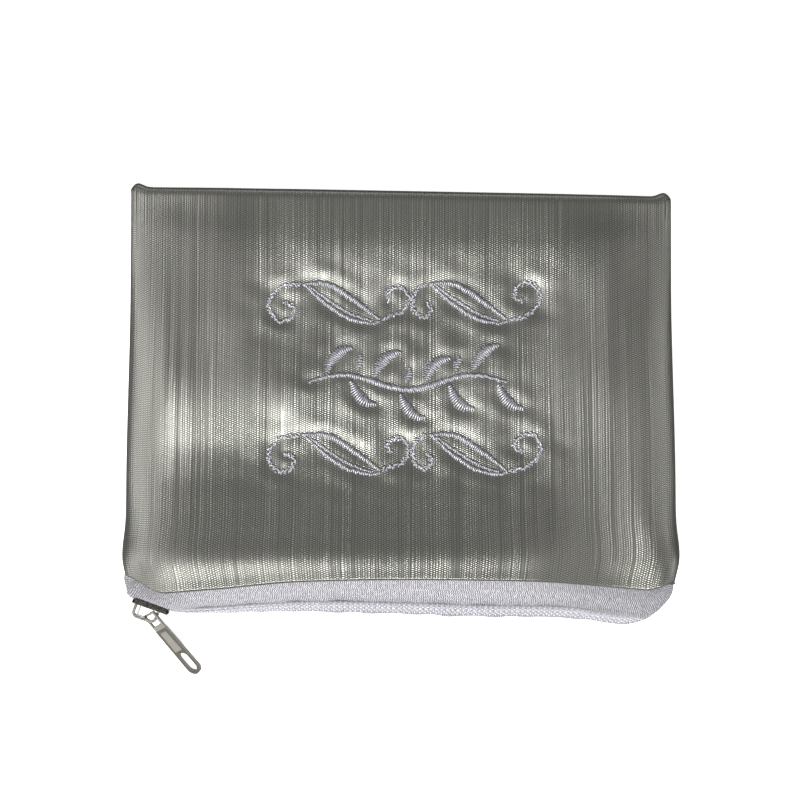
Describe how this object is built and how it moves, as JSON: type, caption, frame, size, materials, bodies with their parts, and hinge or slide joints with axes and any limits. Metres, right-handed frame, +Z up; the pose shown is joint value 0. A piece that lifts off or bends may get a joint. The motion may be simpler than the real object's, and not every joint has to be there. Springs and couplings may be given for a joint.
{
  "type": "zippered coin pouch",
  "caption": "Flat zippered pouch of metallic faux leather with an embroidered front, a coil zip round its open edge and a swinging pull tab.",
  "frame": {"origin": "middle of the flat rest face of the back panel", "axes": "X along the zip, from the slider's closed end to its open end; Y from the zip to the fold; Z up, out of the embroidered front"},
  "size_m": [0.1312, 0.1156, 0.0106],
  "materials": {
    "leather_silver": "silver-grey metallic faux leather, embossed with fine stripes and a fine twill",
    "lining_grey": "thin grey woven lining",
    "zip_tape": "white woven polyester tape with a herringbone",
    "zip_coil": "white nylon coil",
    "zip_thread": "white sewing thread",
    "seam_thread": "grey sewing thread",
    "backing": "white non-woven embroidery backing",
    "embroidery_thread": "pale lavender rayon embroidery thread with a silky sheen",
    "slider_metal": "nickel-plated zinc, bright, with dark recesses",
    "spring_steel": "bright spring steel",
    "tab_metal": "nickel-plated zinc, polished rim and matt sunk panel"
  },
  "bodies": {
    "back": {"back_panel": "leather_silver", "back_lining": "lining_grey", "back_zip_tape": "zip_tape", "back_coil": "zip_coil", "back_coil_thread": "zip_thread", "back_zip_seam": "zip_thread", "side_seam_left": "seam_thread", "side_seam_right": "seam_thread"},
    "front": {"front_panel": "leather_silver", "front_lining": "lining_grey", "front_zip_tape": "zip_tape", "front_coil": "zip_coil", "front_coil_thread": "zip_thread", "front_zip_seam": "zip_thread", "embroidery_backing": "backing", "upper_scroll_left": "embroidery_thread", "upper_scroll_right": "embroidery_thread", "upper_curls": "embroidery_thread", "lower_scroll_left": "embroidery_thread", "lower_scroll_right": "embroidery_thread", "lower_curls": "embroidery_thread", "sprig_stem": "embroidery_thread", "sprig_leaves": "embroidery_thread", "sprig_buds": "embroidery_thread"},
    "slider": {"slider_body": "slider_metal", "slider_cap": "slider_metal", "lock_spring": "spring_steel"},
    "pull_tab": {"pull_tab": "tab_metal"}
  },
  "joints": [
    {"name": "zip_slide", "type": "slide", "parent": "back", "child": "slider", "axis": [0.9993, -0.0371, 0], "range_m": [0, 0.1024], "deforming": ["back_zip_tape", "back_coil", "back_coil_thread", "back_zip_seam"]},
    {"name": "mouth_open", "type": "hinge", "parent": "back", "child": "front", "pos_m": [0, 0.0472, 0.0042], "axis": [-0.9998, 0.0184, 0], "range_deg": [0, 15], "deforming": ["front_zip_tape", "front_coil", "front_coil_thread", "front_zip_seam"]},
    {"name": "pull_tab_swing", "type": "hinge", "parent": "slider", "child": "pull_tab", "pos_m": [-0.05941, -0.05036, 0.0046], "axis": [0, 0, 1], "range_deg": [-100, 20]}
  ],
  "couplings": [
    {"joint": "mouth_open", "follows": "zip_slide", "rad_per_m": 2.556}
  ]
}
